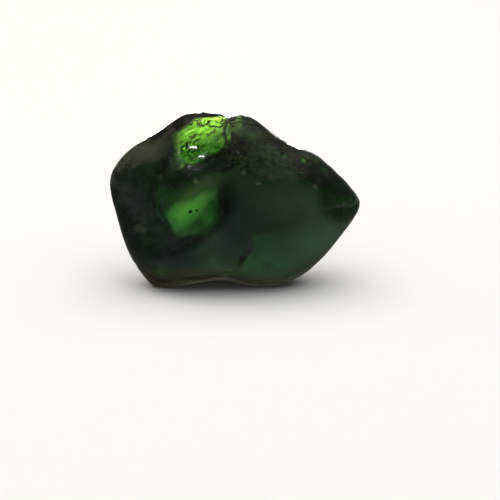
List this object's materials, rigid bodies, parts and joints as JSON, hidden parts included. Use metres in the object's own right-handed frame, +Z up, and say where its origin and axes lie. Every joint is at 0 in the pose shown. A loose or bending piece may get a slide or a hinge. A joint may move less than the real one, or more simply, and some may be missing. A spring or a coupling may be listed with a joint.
{
  "type": "raw moldavite",
  "caption": "Water-worn lump of dark green glass with a humped crown, a pointed end and scooped hollows behind, resting on flats worn on its underside.",
  "frame": {"origin": "centre of the bounding box's base, where the stone rests", "axes": "+X along the stone's length to its pointed end, +Y to its back, +Z up"},
  "size_m": [0.03, 0.0152, 0.0202],
  "materials": {
    "moldavite_glass": "dark green glass, water-worn and glossy, etched in its hollows"
  },
  "bodies": {
    "root": {"moldavite": "moldavite_glass"}
  },
  "joints": []
}
